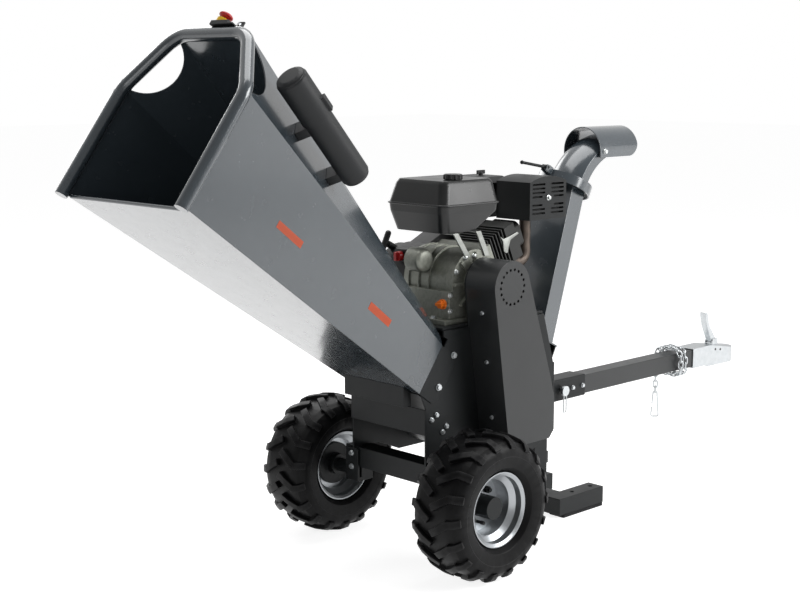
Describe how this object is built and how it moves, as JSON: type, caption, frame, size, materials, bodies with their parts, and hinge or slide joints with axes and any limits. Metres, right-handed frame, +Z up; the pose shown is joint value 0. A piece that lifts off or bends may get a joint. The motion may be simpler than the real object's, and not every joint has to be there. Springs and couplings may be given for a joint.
{
  "type": "garden shredder",
  "caption": "Towable petrol garden shredder with tilted sheet-metal feed hopper, belt-driven cutting drum, swivelling discharge chute, wheels, parking foot and tow bar with ball coupler.",
  "frame": {"origin": "on the ground, midway along and across the machine", "axes": "+X from the hopper to the tow coupler, +Z up, -Y towards the belt guard"},
  "size_m": [2.5652, 0.794, 1.498],
  "materials": {
    "slate_paint": "glossy slate-grey powder coat",
    "black_paint": "satin black powder coat",
    "black_plastic": "gloss black",
    "castings": "grey cast aluminium",
    "iron": "dark machined iron",
    "steel": "ground steel",
    "exhaust": "heat-browned steel",
    "zinc": "bright zinc plate",
    "rims": "silver paint",
    "tyres": "matt black rubber",
    "rubber": "black rubber",
    "red_plastic": "gloss red",
    "orange_plastic": "gloss orange"
  },
  "bodies": {
    "chassis": {"side_plate_near": "black_paint", "side_plate_far": "black_paint", "axle_beam": "black_paint", "stub_axles": "black_paint", "front_cover": "black_paint", "drum_housing": "black_paint", "engine_deck": "black_paint", "rear_post": "black_paint", "parking_foot": "black_paint", "foot_pads": "rubber", "tow_bar": "black_paint", "coupler_body": "zinc", "safety_chain": "zinc", "bolts": "zinc", "belt_guard": "black_paint", "rotor_bearings": "iron", "bed_knife": "steel", "hopper_funnel": "slate_paint", "hopper_hoop": "slate_paint", "hopper_flanges": "slate_paint", "estop_bracket": "black_paint", "manual_tube": "black_plastic", "discharge_chute": "slate_paint", "crankcase": "castings", "crankcase_cover": "castings", "cylinder_block": "castings", "blower_housing": "black_plastic", "starter_motor": "castings", "fuel_tank": "black_plastic", "tank_brackets": "castings", "air_cleaner": "black_plastic", "carburettor": "castings", "muffler": "exhaust", "muffler_guard": "black_paint", "drive_belts": "rubber"},
    "wheel_near": {"tyre_near": "tyres", "rim_near": "rims", "hub_near": "black_paint"},
    "wheel_far": {"tyre_far": "tyres", "rim_far": "rims", "hub_far": "black_paint"},
    "rotor": {"rotor_drum": "iron", "rotor_knives": "steel", "driven_pulley": "iron"},
    "crank": {"crankshaft": "steel", "drive_pulley": "iron"},
    "elbow": {"chute_elbow": "slate_paint"},
    "hood": {"chute_hood": "slate_paint"},
    "clamp": {"clamp_lever": "black_paint"},
    "estop": {"estop_button": "red_plastic"},
    "canister_cap": {"manual_cap": "black_plastic"},
    "key": {"ignition_key": "red_plastic"},
    "recoil": {"recoil_handle": "black_plastic"},
    "tank_cap": {"fuel_cap": "black_plastic"},
    "dip": {"dipstick": "orange_plastic"},
    "throttle": {"throttle_lever": "black_paint"},
    "choke": {"choke_lever": "black_paint"},
    "pin": {"hitch_pin": "zinc"},
    "lever": {"coupler_lever": "zinc"},
    "loose_chain": {"chain_end": "zinc"}
  },
  "joints": [
    {"name": "wheel_near_spin", "type": "hinge", "parent": "chassis", "child": "wheel_near", "pos_m": [-0.35473, -0.309, 0.203], "axis": [0, 1, 0], "continuous": true},
    {"name": "wheel_far_spin", "type": "hinge", "parent": "chassis", "child": "wheel_far", "pos_m": [-0.35473, 0.309, 0.203], "axis": [0, 1, 0], "continuous": true},
    {"name": "rotor_spin", "type": "hinge", "parent": "chassis", "child": "rotor", "pos_m": [-0.09273, 0, 0.41], "axis": [0, 1, 0], "continuous": true},
    {"name": "crank_spin", "type": "hinge", "parent": "chassis", "child": "crank", "pos_m": [-0.17873, 0, 0.771], "axis": [0, 1, 0], "continuous": true},
    {"name": "elbow_swivel", "type": "hinge", "parent": "chassis", "child": "elbow", "pos_m": [0.35265, 0, 1.01538], "axis": [0.454, 0, 0.891], "range_deg": [-160, 160]},
    {"name": "hood_tilt", "type": "hinge", "parent": "elbow", "child": "hood", "pos_m": [0.45551, 0, 1.10946], "axis": [0, -1, 0], "range_deg": [-12, 40]},
    {"name": "clamp_turn", "type": "hinge", "parent": "elbow", "child": "clamp", "pos_m": [0.26002, 0, 1.06707], "axis": [0, 1, 0], "range_deg": [0, 80]},
    {"name": "estop_press", "type": "slide", "parent": "chassis", "child": "estop", "axis": [0.5878, 0, 0.809], "range_m": [-0.005, 0], "stiffness_N_per_m": 600},
    {"name": "cap_pull", "type": "slide", "parent": "chassis", "child": "canister_cap", "axis": [-0.6775, -0.0514, 0.7337], "range_m": [0, 0.13]},
    {"name": "key_turn", "type": "hinge", "parent": "chassis", "child": "key", "pos_m": [-0.25873, 0.099, 0.832], "axis": [1, 0, 0], "range_deg": [0, 60]},
    {"name": "recoil_pull", "type": "slide", "parent": "chassis", "child": "recoil", "axis": [-0.8934, 0, 0.4493], "range_m": [0, 0.14], "stiffness_N_per_m": 60},
    {"name": "tank_cap_turn", "type": "hinge", "parent": "chassis", "child": "tank_cap", "pos_m": [-0.22873, -0.077, 1.058], "axis": [0, 0, 1], "range_deg": [0, 90]},
    {"name": "dip_turn", "type": "hinge", "parent": "chassis", "child": "dip", "pos_m": [-0.29173, -0.103, 0.719], "axis": [1, 0, 0], "range_deg": [-180, 180]},
    {"name": "throttle_swing", "type": "hinge", "parent": "chassis", "child": "throttle", "pos_m": [-0.09473, 0.15, 0.855], "axis": [0, 1, 0], "range_deg": [-25, 25]},
    {"name": "choke_swing", "type": "hinge", "parent": "chassis", "child": "choke", "pos_m": [0.01727, 0.12, 0.881], "axis": [0, 1, 0], "range_deg": [0, 60]},
    {"name": "pin_pull", "type": "slide", "parent": "chassis", "child": "pin", "axis": [0, -1, 0], "range_m": [0, 0.12]},
    {"name": "coupler_lever_swing", "type": "hinge", "parent": "chassis", "child": "lever", "pos_m": [1.18327, 0, 0.411], "axis": [0, 1, 0], "range_deg": [-30, 20]},
    {"name": "chain_swing", "type": "hinge", "parent": "chassis", "child": "loose_chain", "pos_m": [0.919, 0.046, 0.34984], "axis": [0.7071, -0.7071, 0], "range_deg": [-12, 32]}
  ],
  "couplings": [
    {"joint": "crank_spin", "follows": "rotor_spin", "ratio": 1.4167}
  ]
}
